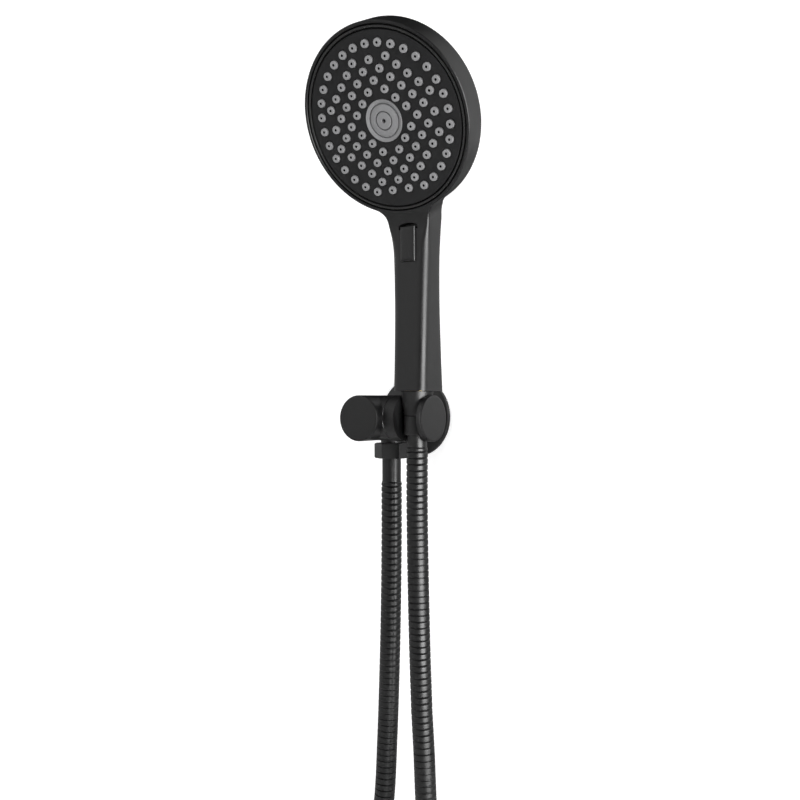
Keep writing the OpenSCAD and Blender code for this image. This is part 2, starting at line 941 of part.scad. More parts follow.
module spreader_plate() {
  color([0.8, 0.8, 0.78])
    in_head()
      difference() {
        post(spreader_r, spreader_z - spreader_t, spreader_z);
        post(mat_r - 0.5, spreader_z - 2, spreader_z + 1);
        collar(spreader_r + 1, spreader_r - 1.9, spreader_z - 2.5, spreader_z - 0.7);
        for (angle = [0:30:330])
          rotate(angle)
            translate([29, 0, 0])
              post(2.2, spreader_z - spreader_t - 1, spreader_z);
        for (angle = [90:120:330])
          rotate(angle)
            translate([screw_ring_r, 0, 0])
              post(screw_r + 0.1, spreader_z - spreader_t - 1, spreader_z);
      }
}

module head_seal() {
  color([0.15, 0.15, 0.15])
    in_head()
      translate([0, 0, spreader_z - 1.6])
        seal(spreader_r - 0.9, 0.85);
}

module head_screws() {
  color([0.7, 0.7, 0.7])
    in_head()
      for (angle = [90:120:330])
        rotate(angle)
          translate([screw_ring_r, 0, 0])
            union() {
              post(screw_r, spreader_z - spreader_t - 5, spreader_z - 2);
              difference() {
                post(2.8, spreader_z - 2, spreader_z - 0.5);
                translate([0, 0, spreader_z - 1.4])
                  cylinder(r = 1, h = 2, $fn = 6);
              }
            }
}

module centre_ring() {
  color([0.62, 0.62, 0.62])
    in_head()
      difference() {
        collar(centre_r, 10.4, floor_z, plate_z + 0.3);
        translate([0, 0, plate_z + 0.3])
          seal(centre_r, 0.25);
      }
}

module centre_jet() {
  color([0.62, 0.62, 0.62])
    in_head()
      rotate_extrude()
        polygon([
          [1.1, spreader_z - 2], [5.8, spreader_z - 2], [5.8, floor_z], [10.1, floor_z],
          [10.1, plate_z + 0.2], [9.9, plate_z + 0.4], [5.3, plate_z + 0.4], [5.1, plate_z],
          [4.8, plate_z], [4.6, plate_z + 0.4], [1.1, plate_z + 0.4]]);
}

wall_flange();
flange_gasket();
outlet_body();
front_cap();
cap_seal();
inlet_screen();
valve_housing();
valve_poppet();
valve_spring();
outlet_nipple();
outlet_nut();
outlet_washer();
outlet_ferrule();
hose_leg_outlet();
hose_coil();
hose_tie();
hose_leg_handset();
hose_top();
pivot_screw();
friction_ring();
locking_screw();
holder_cradle();
seat_liner();
end_cap();
handle_shell();
tail_insert();
tube_seals();
water_tube();
valve_sleeve();
diverter_spool();
neck_elbow();
thumb_button();
button_spring();
cone_nut();
hose_washer();
swivel_collar();
handset_ferrule();
head_shell();
face_carrier();
trim_ring();
faceplate();
nozzle_mat();
spreader_plate();
head_seal();
head_screws();
centre_ring();
centre_jet();
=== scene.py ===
import json
import math
import bpy
import bmesh
from mathutils import Matrix, Vector, geometry

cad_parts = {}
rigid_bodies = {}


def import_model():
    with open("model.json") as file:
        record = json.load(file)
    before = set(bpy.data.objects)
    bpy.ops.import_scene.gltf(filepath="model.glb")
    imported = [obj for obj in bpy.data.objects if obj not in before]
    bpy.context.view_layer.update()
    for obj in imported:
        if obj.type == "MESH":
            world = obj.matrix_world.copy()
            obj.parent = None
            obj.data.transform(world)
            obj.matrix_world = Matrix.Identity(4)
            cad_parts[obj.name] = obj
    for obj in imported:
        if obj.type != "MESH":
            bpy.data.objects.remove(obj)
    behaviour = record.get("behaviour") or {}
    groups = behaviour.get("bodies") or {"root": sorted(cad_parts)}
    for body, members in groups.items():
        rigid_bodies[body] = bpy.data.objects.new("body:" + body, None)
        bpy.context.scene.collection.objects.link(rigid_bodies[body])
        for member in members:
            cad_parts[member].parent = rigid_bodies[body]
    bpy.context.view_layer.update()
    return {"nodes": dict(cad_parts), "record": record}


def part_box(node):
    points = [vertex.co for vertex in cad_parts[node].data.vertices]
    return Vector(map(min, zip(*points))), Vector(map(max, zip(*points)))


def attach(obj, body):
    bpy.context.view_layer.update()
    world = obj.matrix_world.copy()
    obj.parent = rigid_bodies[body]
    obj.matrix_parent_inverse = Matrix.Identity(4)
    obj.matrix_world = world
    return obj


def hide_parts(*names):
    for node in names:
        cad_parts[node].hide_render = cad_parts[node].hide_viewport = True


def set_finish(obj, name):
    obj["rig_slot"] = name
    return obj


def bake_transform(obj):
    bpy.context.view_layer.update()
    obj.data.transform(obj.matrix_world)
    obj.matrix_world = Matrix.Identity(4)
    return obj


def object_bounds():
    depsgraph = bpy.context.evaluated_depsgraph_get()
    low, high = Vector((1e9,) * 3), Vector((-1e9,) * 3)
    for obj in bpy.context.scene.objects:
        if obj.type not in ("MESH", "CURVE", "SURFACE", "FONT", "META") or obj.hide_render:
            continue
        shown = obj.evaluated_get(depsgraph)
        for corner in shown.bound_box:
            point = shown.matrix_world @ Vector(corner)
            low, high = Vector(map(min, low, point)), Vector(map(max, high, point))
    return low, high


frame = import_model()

mm = 0.001
nodes = frame["nodes"]


def middle(node):
    low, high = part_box(node)
    return [(low[k] + high[k]) / 2 for k in range(3)]


# the places everything else is set from, in millimetres
seatX, pivotY = (v / mm for v in middle("cone_nut")[:2])
wallX, outletY = (v / mm for v in middle("outlet_washer")[:2])
barRadius = (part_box("end_cap")[1][2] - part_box("end_cap")[0][2]) / 2 / mm
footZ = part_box("cone_nut")[1][2] / mm + 0.1
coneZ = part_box("cone_nut")[0][2] / mm - 0.1
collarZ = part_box("swivel_collar")[0][2] / mm
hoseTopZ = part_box("handset_ferrule")[0][2] / mm
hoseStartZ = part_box("outlet_ferrule")[0][2] / mm
nutLow, nutHigh = (v[2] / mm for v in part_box("outlet_nut"))

camera = {
    "target": (0.0443, -0.0874, 0.0119),
    "distance": 0.6,
    "azimuth": 33.8,
    "lens": 44.2,
}


def makeCamera():
    data = bpy.data.cameras.new("viewCamera")
    data.lens = camera["lens"]
    data.sensor_width = 36
    data.clip_start = 0.01
    eye = bpy.data.objects.new("viewCamera", data)
    bpy.context.scene.collection.objects.link(eye)
    turn = math.radians(camera["azimuth"])
    back = Vector((math.sin(turn), -math.cos(turn), 0))
    eye.location = Vector(camera["target"]) + back * camera["distance"]
    eye.rotation_mode = "QUATERNION"
    eye.rotation_quaternion = (-back).to_track_quat("-Z", "Y")
    bpy.context.scene.camera = eye


makeCamera()


def easeStep(x, low, high):
    t = min(max((x - low) / (high - low), 0), 1)
    return t * t * (3 - 2 * t)


def makePiece(name, verts, faces, sharpAngle=32):
    mesh = bpy.data.meshes.new(name)
    mesh.from_pydata([Vector(v) * mm for v in verts], [], faces)
    piece = bpy.data.objects.new(name, mesh)
    bpy.context.scene.collection.objects.link(piece)
    finishMesh(piece, sharpAngle)
    return piece


def finishMesh(piece, sharpAngle=32):
    mesh = piece.data
    work = bmesh.new()
    work.from_mesh(mesh)
    bmesh.ops.remove_doubles(work, verts=work.verts, dist=2e-6)
    bmesh.ops.recalc_face_normals(work, faces=work.faces)
    work.to_mesh(mesh)
    work.free()
    mesh.shade_smooth()
    mesh.set_sharp_from_angle(angle=math.radians(sharpAngle))


def placed(origin, along):
    # turns a form made about +Z so that it points along the given direction
    turn = Vector((0, 0, 1)).rotation_difference(Vector(along)).to_matrix().to_4x4()
    return Matrix.Translation(Vector(origin)) @ turn


def lathe(name, profile, place=Matrix.Identity(4), steps=96, sharpAngle=32, closed=False):
    # profile is [radius, height] from one end to the other
    verts, faces = [], []
    count = len(profile)
    for k in range(steps):
        a = 2 * math.pi * k / steps
        for r, z in profile:
            verts.append(place @ Vector((r * math.cos(a), r * math.sin(a), z)))
    spans = count if closed else count - 1
    for k in range(steps):
        here, there = k * count, ((k + 1) % steps) * count
        for j in range(spans):
            n = (j + 1) % count
            quad = [here + j, there + j, there + n, here + n]
            if profile[j][0] == 0:
                quad = [here + j, there + n, here + n]
            elif profile[n][0] == 0:
                quad = [here + j, there + j, here + n]
            if profile[j][0] == 0 and profile[n][0] == 0:
                continue
            faces.append(quad)
    return makePiece(name, verts, faces, sharpAngle)


def softBox(name, size, place, radius):
    # a box with rounded edges
    work = bmesh.new()
    bmesh.ops.create_cube(work, size=1)
    for v in work.verts:
        v.co = Vector((v.co.x * size[0], v.co.y * size[1], v.co.z * size[2]))
    bmesh.ops.bevel(work, geom=list(work.edges), offset=radius, segments=4, profile=0.5, affect="EDGES")
    verts = [place @ v.co for v in work.verts]
    faces = [[v.index for v in f.verts] for f in work.faces]
    work.free()
    return makePiece(name, verts, faces)


def cut(piece, cutter, operation="DIFFERENCE"):
    step = piece.modifiers.new("cut", "BOOLEAN")
    step.operation = operation
    step.solver = "EXACT"
    step.object = cutter
    applyModifiers(piece)
    bpy.data.objects.remove(cutter)


def applyModifiers(piece):
    graph = bpy.context.evaluated_depsgraph_get()
    done = bpy.data.meshes.new_from_object(piece.evaluated_get(graph))
    piece.modifiers.clear()
    piece.data = done


def softEdges(piece, width, segments=2, angle=32):
    bevel = piece.modifiers.new("softEdges", "BEVEL")
    bevel.width = width * mm
    bevel.segments = segments
    bevel.limit_method = "ANGLE"
    bevel.angle_limit = math.radians(angle)
    bevel.harden_normals = False
    weighNormals(piece)


def weighNormals(piece, weight=50):
    # shading follows the large faces
    weigh = piece.modifiers.new("weigh", "WEIGHTED_NORMAL")
    weigh.keep_sharp = True
    weigh.weight = weight


hose = {
    "diameter": 14.0,
    "ribPitch": 4.05,
    "notchDepth": 0.58,
    "notchShare": 0.23,
    "sides": 28,
    "stepsPerRib": 12,
    "coilRadius": 75.0,
    "coilX": 17.0,
    "coilZ": -371.0,
    "turnY": (-33.5, -48.0),
}

# the way each stretch of the hose hangs
legOutlet = [
    (0, -31.5, -44.8), (0, -31.5, -80), (-0.5, -31.5, -125), (-1.5, -31.7, -170),
    (-3, -32, -215), (-5.5, -32.4, -261), (-8, -32.6, -275), (-13, -32.8, -288),
    (-21, -33, -299.5), (-31, -33.2, -309.5), (-41.5, -33.3, -319.5), (-49.5, -33.4, -331),
    (-55, -33.5, -343.5), (-57.5, -33.5, -357), (-58, -33.5, -371)]
legHandset = [
    (92, -48, -371), (91.5, -48, -357), (89, -48, -343.5), (83.5, -48, -331),
    (75.5, -48, -319.5), (65, -48, -309.5), (55, -48.1, -299.5), (47, -48.2, -288),
    (42, -48.3, -275), (39.5, -48.4, -261), (37, -48.6, -215), (35.5, -48.8, -190)]
legTop = [
    (35.5, -48.8, -190), (34, -48.9, -150), (32.8, -49, -105), (32, -49, -60), (32, -49, -19.7)]


def coilRoute():
    # from the outlet leg round the bottom, over the top and round the bottom again
    points = []
    steps = 72
    for k in range(1, steps + 1):
        a = math.pi + 3 * math.pi * k / steps
        share = easeStep(a, 2 * math.pi, 3 * math.pi)
        y = hose["turnY"][0] + (hose["turnY"][1] - hose["turnY"][0]) * share
        points.append((
            hose["coilX"] + hose["coilRadius"] * math.cos(a), y,
            hose["coilZ"] + hose["coilRadius"] * math.sin(a)))
    return points


def evenSteps(points, spacing):
    # a smooth curve through the points, at even steps along it
    p = [Vector(v) for v in points]
    p = [2 * p[0] - p[1]] + p + [2 * p[-1] - p[-2]]
    fine = []
    for i in range(1, len(p) - 2):
        a, b, c, d = p[i - 1:i + 3]
        # knots by chord length keep the curve from bulging between uneven points
        t1 = (b - a).length ** 0.5
        t2 = t1 + (c - b).length ** 0.5
        t3 = t2 + (d - c).length ** 0.5
        for k in range(24):
            t = t1 + (t2 - t1) * k / 24
            a1 = a * (t1 - t) / t1 + b * t / t1
            a2 = b * (t2 - t) / (t2 - t1) + c * (t - t1) / (t2 - t1)
            a3 = c * (t3 - t) / (t3 - t2) + d * (t - t2) / (t3 - t2)
            b1 = a1 * (t2 - t) / t2 + a2 * t / t2
            b2 = a2 * (t3 - t) / (t3 - t1) + a3 * (t - t1) / (t3 - t1)
            fine.append(b1 * (t2 - t) / (t2 - t1) + b2 * (t - t1) / (t2 - t1))
    fine.append(p[-2])
    along = [0]
    for a, b in zip(fine, fine[1:]):
        along.append(along[-1] + (b - a).length)
    count = max(2, round(along[-1] / spacing))
    result, i = [], 0
    for k in range(count + 1):
        want = along[-1] * k / count
        while i < len(fine) - 2 and along[i + 1] < want:
            i += 1
        share = (want - along[i]) / max(along[i + 1] - along[i], 1e-9)
        result.append(fine[i].lerp(fine[i + 1], min(max(share, 0), 1)))
    return result, along[-1]


def ribbedHose(name, points):
    centres, total = evenSteps(points, hose["ribPitch"] / hose["stepsPerRib"])
    sides = hose["sides"]
    ribs = round(total / hose["ribPitch"])
    verts, faces = [], []
    sideways = Vector((1, 0, 0))
    last = len(centres) - 1
    for i, c in enumerate(centres):
        ahead = (centres[min(i + 1, last)] - centres[max(i - 1, 0)]).normalized()
        sideways = (sideways - ahead * sideways.dot(ahead)).normalized()
        other = ahead.cross(sideways)
        phase = (i / last * ribs) % 1
        # flat ribs with a narrow rounded notch between them
        away = abs(phase - 0.5)
        radius = hose["diameter"] / 2
        if away < hose["notchShare"] / 2:
            radius -= hose["notchDepth"] * math.cos(math.pi * away / hose["notchShare"]) ** 0.8
        for k in range(sides):
            a = 2 * math.pi * k / sides
            verts.append(c + radius * (math.cos(a) * sideways + math.sin(a) * other))
    for i in range(last):
        for k in range(sides):
            n = (k + 1) % sides
            faces.append((i * sides + k, i * sides + n, (i + 1) * sides + n, (i + 1) * sides + k))
    faces.append(tuple(range(sides - 1, -1, -1)))
    faces.append(tuple(last * sides + k for k in range(sides)))
    piece = makePiece(name, verts, faces, 50)
    path = [c * mm for c in centres[::hose["stepsPerRib"] // 2] + [centres[-1]]]
    return piece, path, total * mm


print("hose")
outletHose, outletPath, outletLength = ribbedHose("outletHose", legOutlet + coilRoute())
handsetHose, handsetPath, handsetLength = ribbedHose("handsetHose", legHandset)
topHose, topPath, topLength = ribbedHose("topHose", legTop)
print("hose lengths", round(outletLength, 3), round(handsetLength, 3), round(topLength, 3))

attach(outletHose, "bracket")
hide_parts("hose_leg_outlet", "hose_coil")
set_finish(outletHose, "hose_black")
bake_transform(handsetHose)
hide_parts("hose_leg_handset")
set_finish(handsetHose, "hose_black")
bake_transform(topHose)
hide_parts("hose_top")
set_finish(topHose, "hose_black")

bracket = {
    "flangeRadius": 28.0, "flangeThick": 3.5, "flangeBevel": 0.7,
    "reach": 70.5, "capThick": 2.8, "capBevel": 0.8,
    "neckRadius": 7.3, "nutFlats": 20.5, "ferruleRadius": 6.4,
    "hoseBore": 3.5, "inletBore": 9.32, "nippleRadius": 13.0,
}


def makeBracket():
    print("bracket")
    b = bracket
    out = placed((0, 0, 0), (0, -1, 0))
    flange = lathe("wallFlange", [
        (b["nippleRadius"] + 0.05, 0), (b["flangeRadius"] - 0.3, 0), (b["flangeRadius"], 0.3),
        (b["flangeRadius"], b["flangeThick"] - b["flangeBevel"]),
        (b["flangeRadius"] - 0.2, b["flangeThick"] - 0.25),
        (b["flangeRadius"] - b["flangeBevel"], b["flangeThick"]),
        (b["nippleRadius"] + 0.05, b["flangeThick"])], out, 160, closed=True)
    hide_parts("wall_flange")

    # the two round bars, joined
    front = b["reach"] - b["capThick"]
    bars = lathe("wallBars", [
        (b["inletBore"], 0), (b["nippleRadius"], 0), (b["nippleRadius"], b["flangeThick"]),
        (barRadius, b["flangeThick"]), (barRadius, front), (10, front), (10, front - 5),
        (b["inletBore"], front - 6)], out, 128, closed=True)
    cross = lathe("crossBar", [
        (0, 0), (barRadius, 0), (barRadius, barRadius - 0.35), (barRadius - 0.35, barRadius),
        (0, barRadius)], placed((0, pivotY, 0), (1, 0, 0)), 128)
    cut(bars, cross, "UNION")
    finishMesh(bars)
    softEdges(bars, 0.5, 3, 40)
    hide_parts("outlet_body")

    r, e = barRadius, b["capBevel"]
    capPiece = lathe("frontCap", [
        (0, front - 4), (9.8, front - 4), (9.8, front), (r, front), (r, b["reach"] - e),
        (r - e * 0.3, b["reach"] - e * 0.3), (r - e, b["reach"]), (r - e - 0.6, b["reach"]),
        (0, b["reach"])], out, 160)
    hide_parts("front_cap")

    down = placed((wallX, outletY, 0), (0, 0, 1))
    neck = lathe("outletNeck", [
        (b["hoseBore"], -9), (b["neckRadius"], -9), (b["neckRadius"], nutHigh - 0.2),
        (8.3, nutHigh - 0.2), (8.3, nutHigh - 4.6), (b["hoseBore"], nutHigh - 4.6)],
        down, closed=True)
    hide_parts("outlet_nipple")

    # hexagon nut with its corners turned off a little at both ends
    hexVerts, across = [], b["nutFlats"] / 2 / math.cos(math.radians(30))
    for z in (nutLow, nutHigh):
        for k in range(6):
            a = math.radians(30 + 60 * k)
            hexVerts.append((wallX + across * math.cos(a), outletY + across * math.sin(a), z))
    hexFaces = [tuple(range(5, -1, -1)), tuple(range(6, 12))]
    hexFaces += [(k, (k + 1) % 6, (k + 1) % 6 + 6, k + 6) for k in range(6)]
    nut = makePiece("outletNut", hexVerts, hexFaces)
    bore = lathe("nutBore", [
        (0, nutLow - 1), (6.6, nutLow - 1), (6.6, nutLow + 2.6), (8.35, nutLow + 2.6),
        (8.35, nutHigh + 1), (0, nutHigh + 1)], down)
    cut(nut, bore)
    turned = lathe("nutTurned", [
        (0, nutLow - 0.1), (across - 1.3, nutLow - 0.1), (across + 0.2, nutLow + 0.7),
        (across + 0.2, nutHigh - 0.7), (across - 1.3, nutHigh + 0.1), (0, nutHigh + 0.1)], down)
    cut(nut, turned, "INTERSECT")
    finishMesh(nut)
    softEdges(nut, 0.25, 2)
    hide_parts("outlet_nut")

    f = b["ferruleRadius"]
    ferrule = lathe("outletFerrule", [
        (b["hoseBore"], hoseStartZ), (f + 0.3, hoseStartZ), (f + 0.45, hoseStartZ + 0.4),
        (f + 0.3, hoseStartZ + 0.9), (f, hoseStartZ + 1.2), (f, nutLow + 2.6),
        (8.2, nutLow + 2.6), (8.2, nutHigh - 6.1), (b["hoseBore"], nutHigh - 6.1)],
        down, closed=True)
    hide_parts("outlet_ferrule")
    for piece in (flange, bars, capPiece, neck, nut, ferrule):
        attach(piece, "bracket")
        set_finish(piece, "black_metal")


holder = {
    "start": 15.2, "capThick": 1.6, "end": 45.0, "edge": 0.45,
    "slotWidth": 17.6, "seatRadius": 9.8, "seatSlope": 0.135,
}


def makeHolder():
    print("holder")
    h = holder
    across = placed((0, pivotY, 0), (1, 0, 0))
    join = h["end"] - h["capThick"]
    r, e = barRadius, h["edge"]
    cradle = lathe("holderCradle", [
        (0, h["start"]), (r - 0.25, h["start"]), (r, h["start"] + 0.25), (r, join - 0.1),
        (r - 0.1, join), (0, join)], across, 160)
    seatLow, seatRadius = coneZ + 1.5, h["seatRadius"]
    seat = lathe("seatCut", [
        (0, -20), (seatRadius, -20), (seatRadius, seatLow),
        (seatRadius + h["seatSlope"] * (20 - seatLow), 20), (0, 20)],
        placed((seatX, pivotY, 0), (0, 0, 1)), 96)
    cut(cradle, seat)
    slotBox = softBox("slotCut", (h["slotWidth"], 30, 40),
                      Matrix.Translation((seatX, pivotY - 15, 0)), 0.01)
    cut(cradle, slotBox)
    finishMesh(cradle)
    softEdges(cradle, e, 3, 40)
    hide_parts("holder_cradle")
    endCap = lathe("holderEndCap", [
        (0, join - 0.5), (10.9, join - 0.5), (10.9, join), (r - 0.1, join), (r, join + 0.1),
        (r, h["end"] - 0.45), (r - 0.15, h["end"] - 0.15), (r - 0.45, h["end"]), (r - 1, h["end"]),
        (0, h["end"])], across, 160)
    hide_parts("end_cap")
    for piece in (cradle, endCap):
        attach(piece, "holder")
        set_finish(piece, "black_metal")


hoseEnd = {"coneLow": 8.4, "coneHigh": 10.6, "collar": 8.6, "ferrule": 6.5}


def makeHoseEnd():
    print("hose end")
    e = hoseEnd
    up = placed((seatX, pivotY, 0), (0, 0, 1))
    cone = lathe("coneNut", [
        (6.3, coneZ + 0.1), (e["coneLow"] - 0.25, coneZ + 0.1), (e["coneLow"], coneZ + 0.35),
        (e["coneHigh"], footZ - 0.4), (e["coneHigh"] - 0.3, footZ - 0.1), (6.3, footZ - 0.1)],
        up, 128, closed=True)
    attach(cone, "handset")
    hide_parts("cone_nut")
    c = e["collar"]
    collar = lathe("swivelCollar", [
        (3.5, collarZ), (c - 0.35, collarZ), (c, collarZ + 0.35), (c, coneZ - 0.3),
        (c - 0.3, coneZ), (6.2, coneZ), (6.2, coneZ + 6.6), (3.5, coneZ + 6.6)],
        up, 128, closed=True)
    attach(collar, "swivel")
    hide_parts("swivel_collar")
    f = e["ferrule"]
    ferrule = lathe("handsetFerrule", [
        (3.5, hoseTopZ), (f + 0.2, hoseTopZ), (f + 0.4, hoseTopZ + 0.35), (f + 0.2, hoseTopZ + 0.8),
        (f, hoseTopZ + 1.0), (f, collarZ), (3.5, collarZ)], up, 128, closed=True)
    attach(ferrule, "swivel")
    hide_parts("handset_ferrule")
    for piece in (cone, collar, ferrule):
        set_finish(piece, "black_metal")


handset = {
    "length": 113.2, "faceLean": 26.0, "headRadius": 59.25, "sideDepth": 16.7, "domeHeight": 9.0,
    "rimFront": -12.4, "filletRadius": 12.0, "bezel": 2.1, "recess": 2.3,
    "rimRound": 0.7, "rimBackRound": 1.6, "handleRound": 5.3, "handleBackRound": 6.0,
    # share of the handle's height, then half width, front, or depth
    "halfWidth": [(0, 12.3), (0.15, 12.3), (0.32, 12.4), (0.5, 12.65), (0.68, 13.2), (0.82, 13.8),
                  (0.88, 14.4), (0.94, 15.5)],
    "front": [(0, -12.3), (0.15, -11.7), (0.32, -11.1), (0.5, -10.7), (0.68, -10.5), (0.82, -10.4),
              (0.91, -10.7), (0.955, -11.3), (0.985, -12.0), (1.0, -12.4)],
    "depth": [(0, 28.2), (0.15, 26.3), (0.32, 24.3), (0.5, 22.5), (0.68, 21.2), (0.82, 20.4),
              (0.91, 20.0), (1.0, 19.7), (1.15, 19.2), (1.5, 19.2)],
}


def easeCurve(points, x):
    # smooth curve through [x, value] pairs
    if x <= points[0][0]:
        return points[0][1]
    if x >= points[-1][0]:
        return points[-1][1]
    i = max(k for k in range(len(points) - 1) if points[k][0] <= x)
    x0, y0 = points[i]
    x1, y1 = points[i + 1]

    def slope(k):
        a, b = points[max(k - 1, 0)], points[min(k + 1, len(points) - 1)]
        return (b[1] - a[1]) / (b[0] - a[0])
    w = x1 - x0
    t = (x - x0) / w
    return ((2 * t ** 3 - 3 * t ** 2 + 1) * y0 + (t ** 3 - 2 * t ** 2 + t) * w * slope(i)
            + (3 * t ** 2 - 2 * t ** 3) * y1 + (t ** 3 - t ** 2) * w * slope(i + 1))


def softMax(a, b, width):
    h = max(width - abs(a - b), 0) / width
    return max(a, b) + h * h * width / 4


handleTop = footZ + handset["length"]
rimY = pivotY + handset["rimFront"]
lean = math.radians(handset["faceLean"])
faceY = rimY - handset["headRadius"] * math.sin(lean)
faceZ = handleTop + handset["headRadius"] * math.cos(lean)
# the spray head's own frame: +z out of the face, +y up along it
headFrame = Matrix.Translation((seatX, faceY, faceZ)) @ Matrix.Rotation(math.pi / 2 + lean, 4, "X")


def paddlePoint(u, s, t):
    # u across, s along the front from the head's centre, t back into the body
    h = handset
    if s >= -h["headRadius"]:
        return Vector((seatX + u, faceY - s * math.sin(lean) + t * math.cos(lean),
                       faceZ + s * math.cos(lean) + t * math.sin(lean)))
    share = 1 + (s + h["headRadius"]) / h["length"]
    y = pivotY + easeCurve(h["front"], share)
    z = footZ + share * h["length"]
    bend = lean * easeStep(share, 0.74, 1.0)
    return Vector((seatX + u, y + t * math.cos(bend), z + t * math.sin(bend)))


def backDepth(u, s):
    # how deep the body is at a place: the head's dome, with the handle running into it
    h = handset
    share = 1 + (s + h["headRadius"]) / h["length"]
    spine = easeCurve(h["depth"], share)
    half = easeCurve(h["halfWidth"], share)
    spine -= 0.3 * (u / half) ** 2 if abs(u) < half else 0.3 + (abs(u) - half) * 0.9
    dome = h["sideDepth"] + h["domeHeight"] * (1 - (u * u + s * s) / h["headRadius"] ** 2)
    if share < 0.9:
        return spine
    fade = easeStep(share, 0.9, 1.0)
    spine -= 14 * easeStep(share, 1.02, 1.45)
    return spine * (1 - fade) + softMax(spine, dome, 4) * fade


def outline():
    # right-hand edge of the paddle, from the head's top to the handle's foot: [u, s]
    h = handset
    radius, fillet, half = h["headRadius"], h["filletRadius"], h["halfWidth"][-1][1]
    cu = half + fillet
    cs = -math.sqrt((radius + fillet) ** 2 - cu ** 2)
    turn = math.atan2(cs, cu)
    points = []
    for k in range(97):
        a = math.pi / 2 + (turn - math.pi / 2) * k / 96
        points.append((radius * math.cos(a), radius * math.sin(a)))
    for k in range(1, 17):
        a = turn + math.pi + (-turn) * k / 16
        points.append((cu + fillet * math.cos(a), cs + fillet * math.sin(a)))
    foot = -radius - h["length"]
    for k in range(1, 61):
        s = cs + (foot - cs) * k / 60
        share = 1 + (s + radius) / h["length"]
        points.append((easeCurve(h["halfWidth"], share), s))
    return points


def makeHandsetBody():
    print("handset body")
    h = handset
    edge = outline()
    last = len(edge) - 1
    # points of one row: across the front, round its edge, down the side, round the back's edge
    flats, frontSteps, sideSteps, backSteps, backFlats = 8, 6, 5, 7, 12
    rows = []
    for i, (u, s) in enumerate(edge):
        a, b = edge[max(i - 1, 0)], edge[min(i + 1, last)]
        du, ds = b[0] - a[0], b[1] - a[1]
        if i == 0:
            du, ds = 1, 0
        size = math.hypot(du, ds)
        inU, inS = ds / size, -du / size
        if i == last:
            inU, inS = -1, 0
        handleShare = easeStep(-s, 55, 88)
        frontRound = h["rimRound"] + handleShare * (h["handleRound"] - h["rimRound"])
        backRound = h["rimBackRound"] + handleShare * (h["handleBackRound"] - h["rimBackRound"])
        row = []
        endU, endS = u + inU * frontRound, s + inS * frontRound
        for k in range(flats):
            row.append((endU * k / flats, endS, 0))
        for k in range(frontSteps + 1):
            bend = math.pi / 2 * k / frontSteps
            d = frontRound * (1 - math.sin(bend))
            row.append((u + inU * d, s + inS * d, frontRound * (1 - math.cos(bend))))
        endU, endS = u + inU * backRound, s + inS * backRound
        deep = backDepth(endU, endS)
        for k in range(1, sideSteps):
            row.append((u, s, frontRound + (deep - backRound - frontRound) * k / sideSteps))
        for k in range(backSteps + 1):
            bend = math.pi / 2 * k / backSteps
            d = backRound * (1 - math.cos(bend))
            row.append((u + inU * d, s + inS * d, deep - backRound * (1 - math.sin(bend))))
        for k in range(1, backFlats + 1):
            across = endU * (1 - k / backFlats)
            row.append((across, endS, backDepth(across, endS)))
        rows.append(row)
    count = len(rows[0])
    verts, faces = [], []
    for mirror in (1, -1):
        base = len(verts)
        for row in rows:
            verts.extend(paddlePoint(mirror * u, s, t) for u, s, t in row)
        for i in range(last):
            for j in range(count - 1):
                a = base + i * count + j
                faces.append((a, a + 1, a + count + 1, a + count))
    # flat foot, across both halves
    right = [last * count + j for j in range(count)]
    left = [(len(rows) + last) * count + j for j in range(count)]
    for j in range(count - 1):
        faces.append((right[j], right[j + 1], left[j + 1], left[j]))
    body = makePiece("handsetBody", verts, faces, 40)

    bezelIn = h["headRadius"] - h["bezel"]
    recess = lathe("recessCut", [
        (0, -h["recess"]), (bezelIn, -h["recess"]), (bezelIn, -0.3), (bezelIn + 0.35, 0.05),
        (bezelIn + 0.6, 2), (0, 2)], headFrame, 192)
    cut(body, recess)
    b = thumbButton
    gap = 2 * b["gap"]
    pocket = softBox("pocketCut", (b["width"] + gap, 14, b["height"] + gap),
                     Matrix.Translation((seatX, buttonFront + 1.2, b["middle"] + footZ)), 0.5)
    cut(body, pocket)
    scoop = lathe("scoopCut", [(0, -2), (b["scoopRadius"], -2), (b["scoopRadius"], 8), (0, 8)],
                  placed((seatX, buttonFront + b["scoopDepth"], scoopTop - b["scoopRadius"]),
                         (0, -1, 0)), 128)
    keep = softBox("scoopKeep", (b["width"] + 3.4, 14, 6),
                   Matrix.Translation((seatX, buttonFront, scoopTop - 1.2)), 0.4)
    cut(scoop, keep, "INTERSECT")
    cut(body, scoop)
    finishMesh(body, 36)
    weighNormals(body, 80)
    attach(body, "handset")
    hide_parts("handle_shell", "head_shell")
    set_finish(body, "black_plastic")


thumbButton = {
    "width": 11.0, "height": 22.0, "middle": 94.1, "depth": 4.2, "gap": 0.3,
    "sideRound": 0.9, "endRound": 0.4, "crown": 0.1, "slant": 0.5,
    "scoopRadius": 18.0, "scoopDepth": 4.2,
}
buttonLow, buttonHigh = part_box("thumb_button")
buttonFront = buttonLow[1] / mm
scoopTop = buttonHigh[2] / mm + 2.6


